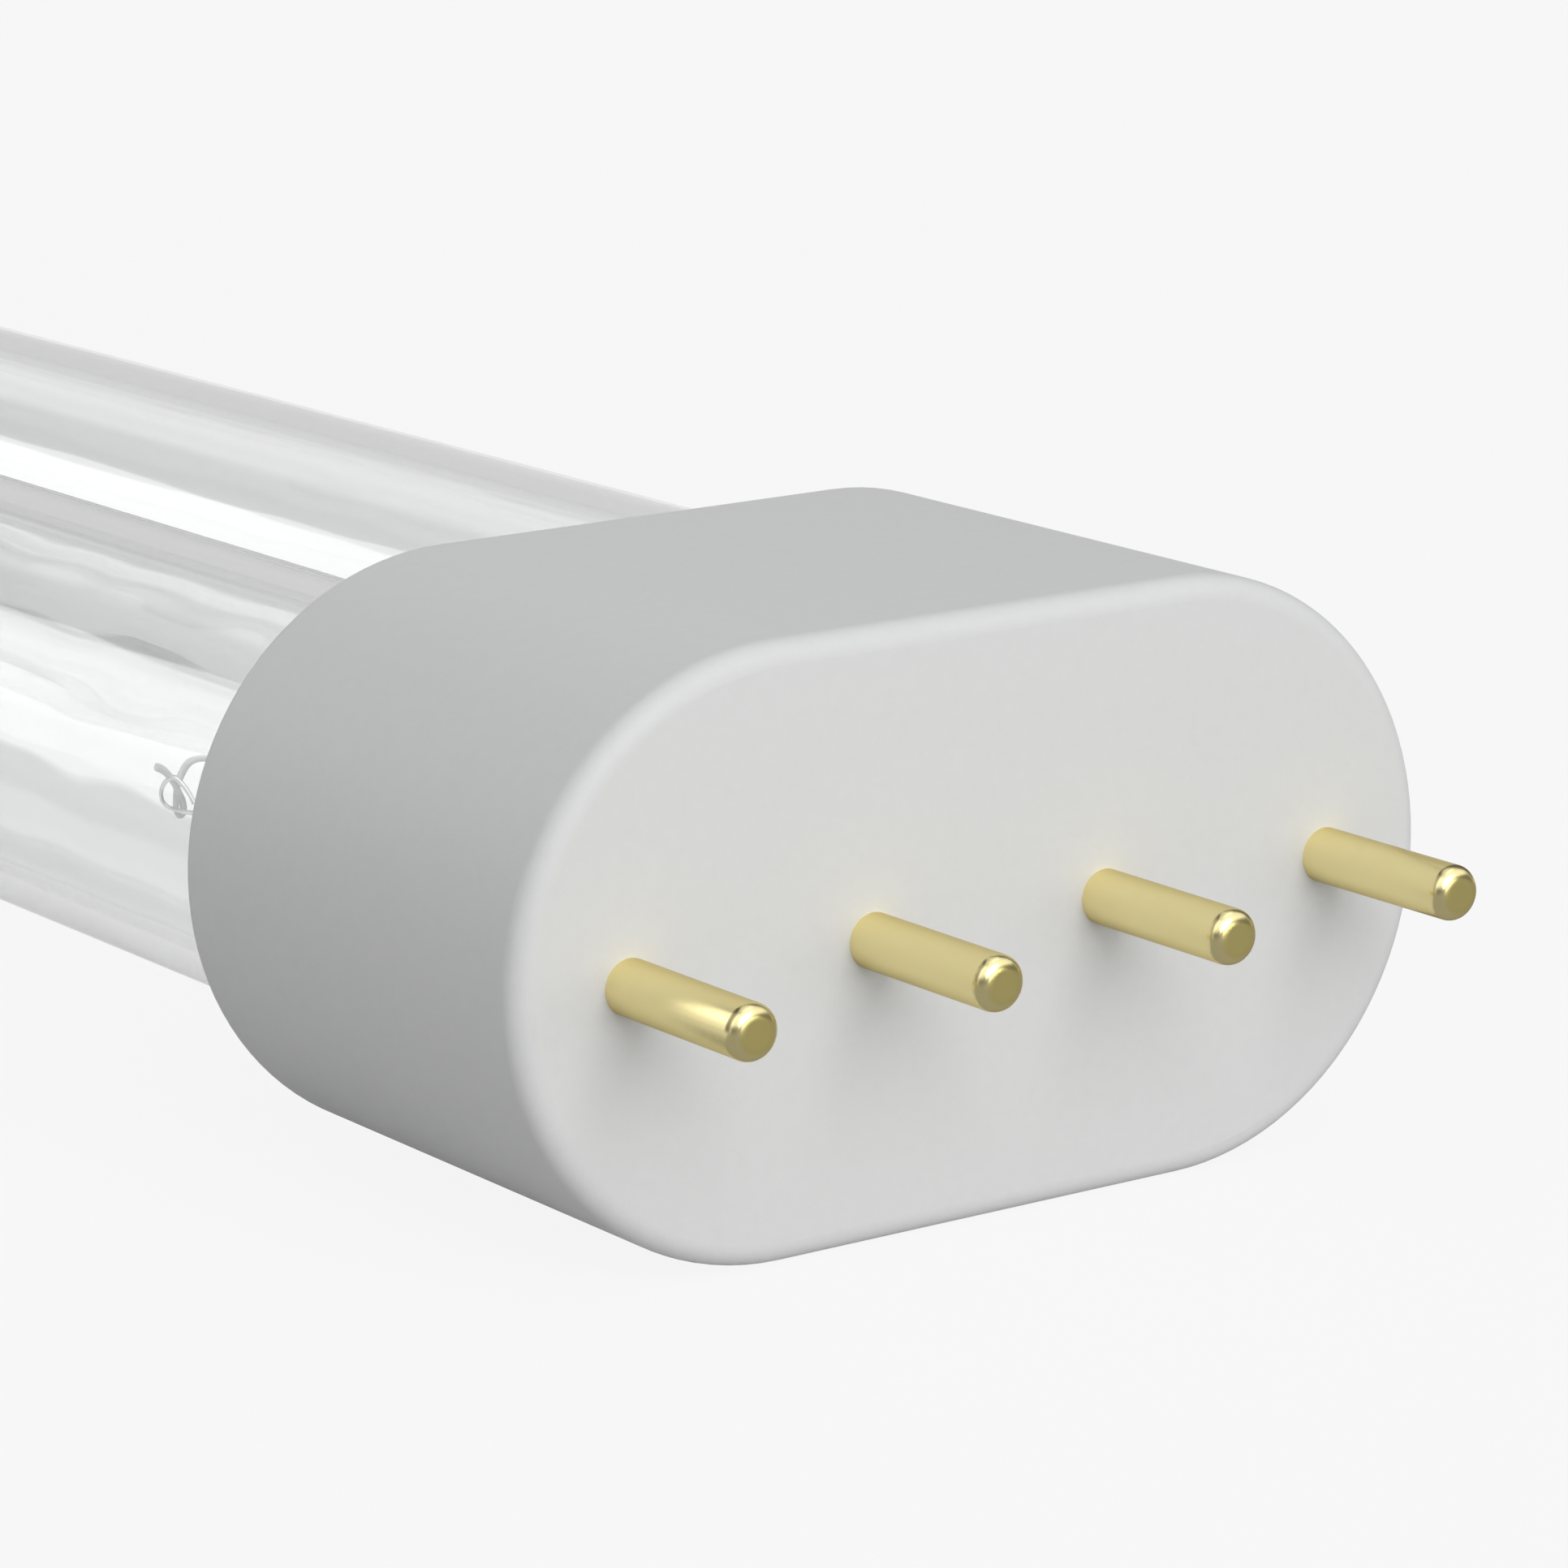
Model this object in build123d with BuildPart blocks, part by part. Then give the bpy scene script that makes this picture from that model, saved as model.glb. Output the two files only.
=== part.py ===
from build123d import *
import os

# A germicidal discharge lamp with two glass legs and a four-pin base, lying flat.
# Units are millimetres. The origin is the centre of the pin row on the base's
# front face. +X runs along the pin row, +Y from the base towards the far end
# of the glass, and +Z is up. The pins point along -Y.

os.makedirs("parts", exist_ok=True)

# Glass vessel
lamp_length = 217.0
leg_diameter = 17.85
leg_wall = 1.1
leg_gap = 2.25
leg_seat = 11.0
end_radius = 6.0
bridge_diameter = 10.4
bridge_wall = 1.1
bridge_margin = 1.0
bridge_blend = 0.7

# Base housing
cap_length = 23.6
cap_wall = 1.6
face_wall = 2.2
side_gap = 0.925
top_gap = 1.425
face_edge_radius = 0.9
mouth_edge_radius = 0.3

# Ribs inside the housing
rib_thickness = 1.2
web_thickness = 1.4
rib_clearance = 0.15
stop_width = 1.6

# Pin bosses inside the housing
boss_diameter = 4.6
boss_height = 1.8

# Contact pins
pin_count = 4
pin_pitch = 11.0
pin_diameter = 2.2
pin_length = 8.1
pin_tip_radius = 0.55
pin_neck_diameter = 1.8
pin_root_diameter = 2.8
face_skin = 0.8
pin_flange_diameter = 3.4
pin_flange_thickness = 0.7
cup_diameter = 2.2
cup_length = 2.6
cup_depth = 2.0
cup_clearance = 0.05

# Glass stems
stem_wall = 1.0
neck_diameter = 8.4
flare_rim = 1.2
flare_depth = 6.5
flare_blend = 1.6
neck_depth = 13.5
pinch_taper = 3.0
pinch_length = 6.0
pinch_width = 8.8
pinch_thickness = 3.0
vent_diameter = 1.4
vent_setback = 1.2

# Exhaust tubes
exhaust_diameter = 3.6
exhaust_wall = 0.6
exhaust_overhang = 3.0
exhaust_tip_radius = 1.2

# Lead-in wires
wire_diameter = 0.36
wire_sides = 8
lead_spacing = 5.2
lead_bend = 1.5
cup_exit = 0.9
lead_settle = 3.0
lead_exit = 1.0
hook_run = 3.0
hook_clearance = 0.02
hook_tail = 0.9
hook_flare = 0.3
hook_end_bend = 0.45
hook_flat = 0.01

# Electrode coils
electrode_distance = 40.6
coil_span = 4.4
coil_diameter = 1.5
coil_wire_diameter = 0.22
coil_turns = 5
coil_pitch = 0.62
coil_overhang = 0.5
tail_lap = 0.05
tail_extra = 0.02

# Capping cement
cement_depth = 4.6
cement_recess = 0.9

# Mercury bead
bead_diameter = 1.1
bead_setback = 21.0

# Places that follow from the sizes above
leg_radius = leg_diameter / 2
bore_radius = leg_radius - leg_wall
leg_spacing = leg_diameter + leg_gap
legs = {"left": -leg_spacing / 2, "right": leg_spacing / 2}
cavity_width = leg_spacing + leg_diameter + 2 * side_gap
cavity_height = leg_diameter + 2 * top_gap
cap_width = cavity_width + 2 * cap_wall
cap_height = cavity_height + 2 * cap_wall
pin_positions = [(i - (pin_count - 1) / 2) * pin_pitch for i in range(pin_count)]
boss_end = face_wall + boss_height
flange_end = boss_end + pin_flange_thickness
cup_end = flange_end + cup_length
cup_floor = cup_end - cup_depth
cement_end = cap_length - cement_recess
cement_start = cement_end - cement_depth
neck_radius = neck_diameter / 2
neck_end = leg_seat + neck_depth
pinch_start = neck_end + pinch_taper
pinch_end = pinch_start + pinch_length
exhaust_tip = leg_seat - exhaust_overhang
exhaust_bore_radius = exhaust_diameter / 2 - exhaust_wall
wire_radius = wire_diameter / 2
cup_bore_radius = wire_radius + cup_clearance
coil_radius = (coil_diameter - coil_wire_diameter) / 2
tail_radius = (coil_wire_diameter + tail_extra) / 2
hook_radius = wire_radius + tail_radius + hook_clearance
hook_bend = hook_radius - hook_flat
bead_radius = bead_diameter / 2
bridge_distance = lamp_length - end_radius - bridge_margin - bridge_diameter / 2
bridge_plane = Plane(
    origin=(legs["left"], bridge_distance, 0),
    x_dir=(0, 1, 0),
    z_dir=(1, 0, 0),
)


def across(y, x=0):
    """A plane that looks along the lamp, at distance y from the pin face."""
    return Plane(origin=(x, y, 0), x_dir=(1, 0, 0), z_dir=(0, 1, 0))


def beside(x):
    """A level plane whose local x is the distance from a leg's or pin's axis."""
    return Plane(origin=(x, 0, 0), x_dir=(1, 0, 0), z_dir=(0, 0, 1))


def along(x):
    """The line through x that runs the lamp's length."""
    return Axis((x, 0, 0), (0, 1, 0))


# Base housing
with BuildPart() as base_housing:
    with BuildSketch(across(0)):
        SlotOverall(cap_width, cap_height)
    extrude(amount=cap_length)
    fillet(base_housing.edges().group_by(Axis.Y)[0], face_edge_radius)
    fillet(base_housing.edges().group_by(Axis.Y)[-1], mouth_edge_radius)
    with BuildSketch(across(face_wall)):
        SlotOverall(cavity_width, cavity_height)
    extrude(amount=cap_length - face_wall, mode=Mode.SUBTRACT)
    # Bosses round the pin roots
    with BuildSketch(across(face_wall)):
        with GridLocations(pin_pitch, 0, pin_count, 1):
            Circle(boss_diameter / 2)
    extrude(amount=boss_height)
    # Ribs that stop the ends of the glass legs
    with BuildSketch(across(face_wall)):
        with GridLocations(leg_spacing, 0, 2, 1):
            Rectangle(rib_thickness, cap_height)
        with GridLocations(leg_spacing, 0, 2, 1):
            Circle(leg_radius - stop_width, mode=Mode.SUBTRACT)
        Rectangle(web_thickness, cap_height)
        SlotOverall(cavity_width, cavity_height, mode=Mode.INTERSECT)
    extrude(amount=leg_seat - face_wall)
    # Ribs that centre the legs
    with BuildSketch(across(leg_seat)):
        with GridLocations(leg_spacing, 0, 2, 1):
            Rectangle(rib_thickness, cap_height)
        Rectangle(cap_width, rib_thickness)
        Rectangle(web_thickness, cap_height)
        with GridLocations(leg_spacing, 0, 2, 1):
            Circle(leg_radius + rib_clearance, mode=Mode.SUBTRACT)
        SlotOverall(cavity_width, cavity_height, mode=Mode.INTERSECT)
    extrude(amount=cement_start - leg_seat)
    # Stepped holes moulded round the pins' necks and roots
    with Locations(across(boss_end)):
        with GridLocations(pin_pitch, 0, pin_count, 1):
            CounterBoreHole(
                radius=pin_neck_diameter / 2,
                counter_bore_radius=pin_root_diameter / 2,
                counter_bore_depth=boss_end - face_skin,
                depth=boss_end,
            )
base_housing.part.label = "base_housing"
export_step(base_housing.part, "parts/base_housing.step")


# Contact pins
def make_contact_pin(number, x):
    """A turned pin: rounded tip, neck and root in the face wall, flange and cup."""
    with BuildPart() as pin:
        with BuildSketch(beside(x)) as half:
            with BuildLine():
                Polyline(
                    (0, -pin_length),
                    (pin_diameter / 2, -pin_length),
                    (pin_diameter / 2, 0),
                    (pin_neck_diameter / 2, 0),
                    (pin_neck_diameter / 2, face_skin),
                    (pin_root_diameter / 2, face_skin),
                    (pin_root_diameter / 2, boss_end),
                    (pin_flange_diameter / 2, boss_end),
                    (pin_flange_diameter / 2, flange_end),
                    (cup_diameter / 2, flange_end),
                    (cup_diameter / 2, cup_end),
                    (cup_bore_radius, cup_end),
                    (cup_bore_radius, cup_floor),
                    (0, cup_floor),
                    close=True,
                )
            make_face()
            tip = half.vertices().group_by(Axis.Y)[0].sort_by(Axis.X)[-1]
            fillet(tip, pin_tip_radius)
        revolve(axis=along(x))
    pin.part.label = f"contact_pin_{number}"
    export_step(pin.part, f"parts/{pin.part.label}.step")


for number, x in enumerate(pin_positions, start=1):
    make_contact_pin(number, x)


# Glass vessel: two round-ended legs joined by a bridge near the far end
with BuildPart() as discharge_vessel:
    for x in legs.values():
        with BuildSketch(beside(x)) as half:
            with Locations((0, leg_seat)):
                Rectangle(leg_radius, lamp_length - leg_seat, align=(Align.MIN, Align.MIN))
            fillet(half.vertices().group_by(Axis.Y)[-1].sort_by(Axis.X)[-1], end_radius)
        revolve(axis=along(x))
    with BuildSketch(bridge_plane):
        Circle(bridge_diameter / 2)
    extrude(amount=leg_spacing)
    saddles = discharge_vessel.edges().filter_by(GeomType.BSPLINE)
    fillet(saddles, bridge_blend)
    for x in legs.values():
        with BuildSketch(beside(x)) as half:
            with Locations((0, leg_seat)):
                Rectangle(
                    bore_radius,
                    lamp_length - leg_wall - leg_seat,
                    align=(Align.MIN, Align.MIN),
                )
            fillet(
                half.vertices().group_by(Axis.Y)[-1].sort_by(Axis.X)[-1],
                end_radius - leg_wall,
            )
        revolve(axis=along(x), mode=Mode.SUBTRACT)
    with BuildSketch(bridge_plane):
        Circle(bridge_diameter / 2 - bridge_wall)
    extrude(amount=leg_spacing, mode=Mode.SUBTRACT)
discharge_vessel.part.label = "discharge_vessel"
export_step(discharge_vessel.part, "parts/discharge_vessel.step")


# Glass stems
def make_glass_stem(name, x):
    """A flared glass tube that closes a leg, pinched flat round its two wires."""
    with BuildPart() as stem:
        with BuildSketch(beside(x)):
            with BuildLine():
                FilletPolyline(
                    (bore_radius, leg_seat),
                    (bore_radius, leg_seat + flare_rim),
                    (neck_radius, leg_seat + flare_depth),
                    (neck_radius, neck_end),
                    radius=flare_blend,
                )
                offset(amount=stem_wall, side=Side.LEFT)
            make_face()
        revolve(axis=along(x))
        with BuildSketch(across(neck_end, x)):
            Circle(neck_radius)
        with BuildSketch(across(pinch_start, x)):
            SlotOverall(pinch_width, pinch_thickness)
        loft()
        with BuildSketch(across(pinch_start, x)):
            SlotOverall(pinch_width, pinch_thickness)
        extrude(amount=pinch_length)
        # Passages for the two wires
        with Locations(across(pinch_end, x)):
            with GridLocations(lead_spacing, 0, 2, 1):
                Hole(wire_radius, depth=pinch_end - neck_end)
        # Exhaust passage, which opens into the leg through a side vent
        with BuildSketch(across(neck_end, x)):
            Circle(exhaust_bore_radius)
        extrude(amount=vent_setback + vent_diameter / 2, mode=Mode.SUBTRACT)
        with BuildSketch(beside(x)):
            with Locations((0, neck_end + vent_setback)):
                Circle(vent_diameter / 2)
        extrude(amount=neck_radius, mode=Mode.SUBTRACT)
    stem.part.label = f"glass_stem_{name}"
    export_step(stem.part, f"parts/{stem.part.label}.step")


def make_exhaust_tube(name, x):
    """The thin glass tube that the leg was pumped through, sealed at its tip."""
    with BuildPart() as tube:
        with BuildSketch(beside(x)) as half:
            with Locations((0, exhaust_tip)):
                Rectangle(
                    exhaust_diameter / 2,
                    neck_end - exhaust_tip,
                    align=(Align.MIN, Align.MIN),
                )
            fillet(half.vertices().group_by(Axis.Y)[0].sort_by(Axis.X)[-1], exhaust_tip_radius)
            with Locations((0, neck_end)):
                Rectangle(
                    exhaust_bore_radius,
                    neck_end - exhaust_tip - exhaust_tip_radius,
                    align=(Align.MIN, Align.MAX),
                    mode=Mode.SUBTRACT,
                )
        revolve(axis=along(x))
    tube.part.label = f"exhaust_tube_{name}"
    export_step(tube.part, f"parts/{tube.part.label}.step")


# Lead-in wires
def make_lead_wire(number, leg_x, side):
    """A wire from a pin's cup, through the stem, to a hook round the coil's end."""
    pin_x = pin_positions[number - 1]
    lead_x = leg_x + side * lead_spacing / 2
    hook_x = leg_x + side * coil_span / 2
    with BuildPart() as wire:
        with BuildLine() as route:
            FilletPolyline(
                (pin_x, cup_floor, 0),
                (pin_x, cup_end + cup_exit, 0),
                (lead_x, leg_seat + lead_settle, 0),
                (lead_x, pinch_end + lead_exit, 0),
                (hook_x, electrode_distance - hook_run, 0),
                (hook_x, electrode_distance + hook_radius, 0),
                (hook_x, electrode_distance + hook_radius, -2 * hook_radius),
                (hook_x, electrode_distance - hook_tail, -2 * hook_radius),
                (hook_x, electrode_distance - 2 * hook_tail, -2 * hook_radius - hook_flare),
                radius=[
                    lead_bend,
                    lead_bend,
                    lead_bend,
                    lead_bend,
                    hook_bend,
                    hook_bend,
                    hook_end_bend,
                ],
            )
        with BuildSketch(Plane(origin=route.line @ 0, z_dir=route.line % 0)):
            RegularPolygon(wire_radius, wire_sides)
        sweep()
    wire.part.label = f"lead_wire_{number}"
    export_step(wire.part, f"parts/{wire.part.label}.step")


# Electrode coils
def make_electrode_coil(name, x):
    """A coil of tungsten wire whose straight ends lie in the two hooks."""
    coil_length = coil_turns * coil_pitch
    with BuildPart() as coil:
        # Straight ends, each of which laps the turn beside it
        for side in (-1, 1):
            tail_start = x + side * (coil_length / 2 - tail_lap)
            tail_plane = Plane(
                origin=(tail_start, electrode_distance, -hook_radius),
                x_dir=(0, 1, 0),
                z_dir=(side, 0, 0),
            )
            with BuildSketch(tail_plane):
                RegularPolygon(tail_radius, wire_sides)
            extrude(amount=coil_span / 2 + coil_overhang - coil_length / 2 + tail_lap)
        with BuildLine() as turns:
            Helix(
                pitch=coil_pitch,
                height=coil_length,
                radius=coil_radius,
                center=(x - coil_length / 2, electrode_distance, -hook_radius - coil_radius),
                direction=(1, 0, 0),
            )
        with BuildSketch(Plane(origin=turns.line @ 0, z_dir=turns.line % 0)):
            RegularPolygon(coil_wire_diameter / 2, wire_sides)
        sweep(is_frenet=True)
    coil.part.label = f"electrode_coil_{name}"
    export_step(coil.part, f"parts/{coil.part.label}.step")


for index, (name, x) in enumerate(legs.items()):
    make_glass_stem(name, x)
    make_exhaust_tube(name, x)
    make_lead_wire(2 * index + 1, x, -1)
    make_lead_wire(2 * index + 2, x, 1)
    make_electrode_coil(name, x)


# Capping cement, which fills the mouth of the housing round both legs
with BuildPart() as capping_cement:
    with BuildSketch(across(cement_start)):
        SlotOverall(cavity_width, cavity_height)
        with GridLocations(leg_spacing, 0, 2, 1):
            Circle(leg_radius, mode=Mode.SUBTRACT)
    extrude(amount=cement_depth)
capping_cement.part.label = "capping_cement"
export_step(capping_cement.part, "parts/capping_cement.step")


# Mercury bead, which lies on the wall inside the left leg
with BuildPart() as mercury_bead:
    with Locations((legs["left"], lamp_length - bead_setback, bead_radius - bore_radius)):
        Sphere(bead_radius)
mercury_bead.part.label = "mercury_bead"
export_step(mercury_bead.part, "parts/mercury_bead.step")
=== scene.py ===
from math import cos, pi, radians, sin, sqrt

import bpy
from bpy.props import FloatProperty, FloatVectorProperty, IntProperty, PointerProperty
from mathutils import Matrix, Vector


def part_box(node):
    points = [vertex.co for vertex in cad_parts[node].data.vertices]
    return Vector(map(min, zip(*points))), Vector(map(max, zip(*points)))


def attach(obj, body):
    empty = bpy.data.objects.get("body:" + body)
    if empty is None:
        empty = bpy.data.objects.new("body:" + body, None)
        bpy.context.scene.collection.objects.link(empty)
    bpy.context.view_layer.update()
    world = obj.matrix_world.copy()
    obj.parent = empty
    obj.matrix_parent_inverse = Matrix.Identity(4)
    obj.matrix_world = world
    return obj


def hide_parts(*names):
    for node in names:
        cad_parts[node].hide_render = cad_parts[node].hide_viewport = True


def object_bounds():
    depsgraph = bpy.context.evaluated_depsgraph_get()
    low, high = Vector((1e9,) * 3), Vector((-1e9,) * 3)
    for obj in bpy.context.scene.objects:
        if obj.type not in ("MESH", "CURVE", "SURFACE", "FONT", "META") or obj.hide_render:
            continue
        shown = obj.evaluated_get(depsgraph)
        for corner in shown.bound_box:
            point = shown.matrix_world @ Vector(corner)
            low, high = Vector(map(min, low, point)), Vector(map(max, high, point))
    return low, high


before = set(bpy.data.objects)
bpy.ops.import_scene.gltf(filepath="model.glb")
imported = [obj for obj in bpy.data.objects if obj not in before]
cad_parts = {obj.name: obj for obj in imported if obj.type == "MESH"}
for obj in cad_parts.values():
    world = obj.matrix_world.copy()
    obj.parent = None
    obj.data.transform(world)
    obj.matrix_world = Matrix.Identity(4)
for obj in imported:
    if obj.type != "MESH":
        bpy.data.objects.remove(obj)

bl_info = {
    "name": "Germicidal Lamp Tube",
    "version": (1, 0, 0),
    "blender": (4, 5, 0),
    "location": "3D View > Sidebar > Lamp Tube",
    "description": "Dresses a two-legged germicidal lamp and builds the studio round it",
    "category": "Object",
}

CAD_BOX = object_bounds()
LEG_SIDES = ("left", "right")
LEAD_WIRES = 4
MM = 0.001
# Places nearer than this count as one
CLOSE = 0.01 * MM

# Steps in the rounding of a leg's end, and in the flare of the bridge towards a leg
ROUNDING_STEPS = 14
FLARE_STEPS = 6
# How far the flare reaches into a leg's wall, and how far the bore starts outside its open end
WALL_OVERLAP = 0.6 * MM
OPEN_END = 1 * MM

# Where a lead wire runs, in millimetres: its start in the pin, the bend out of the pin's cup,
# its points past the leg's seat, and those about the stem's end
START_IN_PIN = 0.1
OUT_OF_CUP = 0.9
PAST_SEAT = (2, 4, 9)
ABOUT_STEM_END = (-2, 0.8)
# How far, in millimetres, the electrodes stand nearer the base than in the CAD, because the
# glass bends the view of them
TOWARDS_BASE = 1.2
# How far, in millimetres, the middle of the coil's span hangs below its ends
SPAN_SAG = 0.08
# Edges of a wire sharper than this stay sharp
WIRE_CREASE = radians(50)

# The coil's end, in millimetres out from the leg's axis, along from the coil's middle and up
COIL_END = (
    (3.18, -0.25, 0.25), (2.87, -0.25, 0.14), (2.55, -0.22, -0.12), (2.28, -0.18, -0.45),
    (2.04, -0.10, -0.89), (1.78, 0.00, -1.43), (1.70, 0.00, -1.85), (1.90, 0.00, -2.08),
    (2.13, 0.00, -1.80), (2.08, 0.05, -1.37), (1.99, 0.12, -0.90), (1.84, 0.18, -0.50),
    (1.63, 0.15, -0.14), (1.42, 0.10, 0.07), (1.09, 0.05, 0.13), (0.73, 0.00, 0.07),
)
# The lead wire's loop round that end, from the stem, in the same way
LEAD_LOOP = (
    (2.35, -2.80, -1.30), (2.20, -1.40, -1.60), (2.33, -0.50, -1.60), (2.51, 0.02, -1.57),
    (2.74, 0.18, -1.33), (2.78, 0.22, -0.98), (2.68, 0.12, -0.62), (2.54, -0.10, -0.32),
    (2.42, -0.47, -0.17), (2.24, -0.60, -0.34), (2.10, -0.80, -0.60), (2.07, -1.10, -0.87),
    (2.02, -1.40, -1.23),
)

# Glass: its tint, the tint of light that it lets pass to what is behind it, and its IOR
GLASS_TINT = (0.93, 0.933, 0.933, 1)
GLASS_SHADE = (0.93, 0.94, 0.94, 1)
GLASS_IOR = 1.52
# Between these distances from a leg's axis, the relief of the inside turns into the outside's
GLASS_WALL = (8.2 * MM, 8.6 * MM)
# What is left of the relief in the bore, seen from behind, and at the outline, and how far
# the surface turns away from the view while it fades towards the outline
RELIEF_IN_BORE = 0.12
RELIEF_FROM_BEHIND = 0.03
RELIEF_AT_OUTLINE = 0.02
TURNING_AWAY = (0.45, 0.72)
PLASTIC_IOR = 1.5
# The colour of a pin's gloss, the painted shade of the cut end, as shares of the brass's
# colour that stand in for the darker reflection there, and where the cut end turns into
# the shaft, from the pin's tip
BRASS_GLOSS = (0.72, 0.64, 0.42, 1)
CUT_END_PAINTED_SHADE = (0.92, 0.90, 0.66)
CUT_END = (0.01 * MM, 0.07 * MM)
MERCURY_SKIN = ((0.74, 0.75, 0.76), (0.84, 0.85, 0.86))

# Degrees round the lamp's length from its right side over the top, and how bright the
# studio behind the base is there
REAR_BANDS = (
    (-170, 1.0), (-150, 0.7), (-20, 0.72), (0, 0.75), (33, 0.68), (48.6, 0.64), (49.4, 0.90),
    (56, 0.62), (57, 0.85), (80, 0.70), (88, 0.10), (96, 0.0), (112.4, 0.0), (113.2, 1.9),
    (126, 2.1), (146, 2.1), (156, 1.5), (166, 1.1), (178, 1.1),
)
# How far a direction points up, and how bright the studio in front of the pins is there
FRONT_BANDS = ((0.0, 0.18), (0.3, 0.14), (0.42, 1.1), (1.0, 1.1))
# How far a direction points to the rear, from -1 to 1, and how much it shows the rear's bands
FRONT_TO_REAR = ((-0.3, 0), (0.2, 1))
# The same, and how much brightness the gap overhead leaves
GAP_BANDS = ((0.0, 1.0), (0.1, 0.2), (0.64, 0.15), (0.72, 1.0))

# The floor, in metres: its size, and the distance over which it turns into the backdrop
FLOOR_SIZE = 24
FLOOR_FADE = (0.25, 0.5)
FLOOR_PAINT = (0.68, 0.68, 0.68, 1)
# Painted shade on the floor that gloss shows, by the pins and the near leg, where shade
# falls; where it stops: from the pins to the rear, from the near leg to the far one, and out
# from the near leg, where some of it stays
SHADE_TO_REAR = (0.01, 0.03)
SHADE_TO_FAR_LEG = (-0.02, 0)
SHADE_BESIDE = (-0.06, -0.025)
SHADE_FAR_OUT = 0.35

# Name, place, width and height of each lamp, in metres, and the point that they all face
AREA_LAMPS = (
    ("key_lamp", (-0.08, -0.62, 0.42), 0.6, 0.5),
    ("front_lamp", (0.15, -0.7, 0.03), 0.5, 0.3),
    ("top_lamp", (0.1, 0.1, 0.8), 0.6, 0.6),
)
LIT_POINT = (0, 0.01, 0)
# Millimetres, and the nearest and farthest that the camera sees, in metres
SENSOR_WIDTH = 36
CAMERA_REACH = (0.01, 60)


# Places that the frame gives

def leg_axis(side):
    """The place across the lamp, in metres, of a leg's centre line."""
    low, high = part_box(f"glass_stem_{side}")
    return (low.x + high.x) / 2


def vessel_sizes():
    """Seat, far end, outer radius and bore radius of the glass legs."""
    low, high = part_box("discharge_vessel")
    stem_low, stem_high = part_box("glass_stem_left")
    return low.y, high.y, (high.z - low.z) / 2, (stem_high.z - stem_low.z) / 2


def coil_centre(side):
    """The middle of a leg's electrode coil."""
    low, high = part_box(f"electrode_coil_{side}")
    return (low + high) / 2


# Sizes and colours that a user would change

class LampVesselSettings(bpy.types.PropertyGroup):
    end_radius: FloatProperty(
        name="End rounding",
        description="Radius of the rounding at each leg's far end",
        default=6.0 * MM, min=0, unit="LENGTH", precision=5,
    )
    bridge_diameter: FloatProperty(
        name="Bridge diameter",
        description="Outer diameter of the tube that joins the legs",
        default=10.4 * MM, min=0, unit="LENGTH", precision=5,
    )
    bridge_setback: FloatProperty(
        name="Bridge setback",
        description="Distance from the legs' far end to the middle of the bridge",
        default=12.2 * MM, min=0, unit="LENGTH", precision=5,
    )
    weld_radius: FloatProperty(
        name="Weld radius",
        description="Fillet of melted glass where the bridge meets a leg",
        default=0.7 * MM, min=0, unit="LENGTH", precision=5,
    )
    leg_facets: IntProperty(
        name="Leg facets",
        description="Number of faces round a leg",
        default=144, min=24,
    )
    bridge_facets: IntProperty(
        name="Bridge facets",
        description="Number of faces round the bridge",
        default=64, min=16,
    )


class LampElectrodeSettings(bpy.types.PropertyGroup):
    wire_radius: FloatProperty(
        name="Lead wire radius",
        description="Radius of the wires from the pins to the stem's end",
        default=0.17 * MM, min=0, unit="LENGTH", precision=5,
    )
    loop_radius: FloatProperty(
        name="Loop wire radius",
        description="Radius of the lead wires' loops round the coil",
        default=0.1 * MM, min=0, unit="LENGTH", precision=5,
    )
    lead_spacing: FloatProperty(
        name="Lead spacing",
        description="Distance between a leg's lead wires in the stem",
        default=5.2 * MM, min=0, unit="LENGTH", precision=5,
    )
    coil_radius: FloatProperty(
        name="Coil radius",
        description="Radius of the tightly wound, coated coil",
        default=0.145 * MM, min=0, unit="LENGTH", precision=5,
    )


class LampFinishSettings(bpy.types.PropertyGroup):
    plastic_colour: FloatVectorProperty(
        name="Base plastic",
        description="Colour of the moulded base",
        default=(0.72, 0.725, 0.725), subtype="COLOR", min=0, max=1,
    )
    brass_colour: FloatVectorProperty(
        name="Pin brass",
        description="Colour of the contact pins",
        default=(0.93, 0.81, 0.41), subtype="COLOR", min=0, max=1,
    )
    cement_colour: FloatVectorProperty(
        name="Cement",
        description="Colour of the capping cement",
        default=(0.70, 0.68, 0.62), subtype="COLOR", min=0, max=1,
    )
    nickel_colour: FloatVectorProperty(
        name="Lead wire",
        description="Colour of the nickel-plated lead wires",
        default=(0.95, 0.95, 0.94), subtype="COLOR", min=0, max=1,
    )
    tungsten_colour: FloatVectorProperty(
        name="Coil coating",
        description="Colour of the coated electrode coils",
        default=(0.97, 0.97, 0.96), subtype="COLOR", min=0, max=1,
    )
    streak_strength: FloatProperty(
        name="Glass streaks",
        description="How much the drawing streaks bend the light",
        default=0.3, min=0, max=1,
    )


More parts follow.
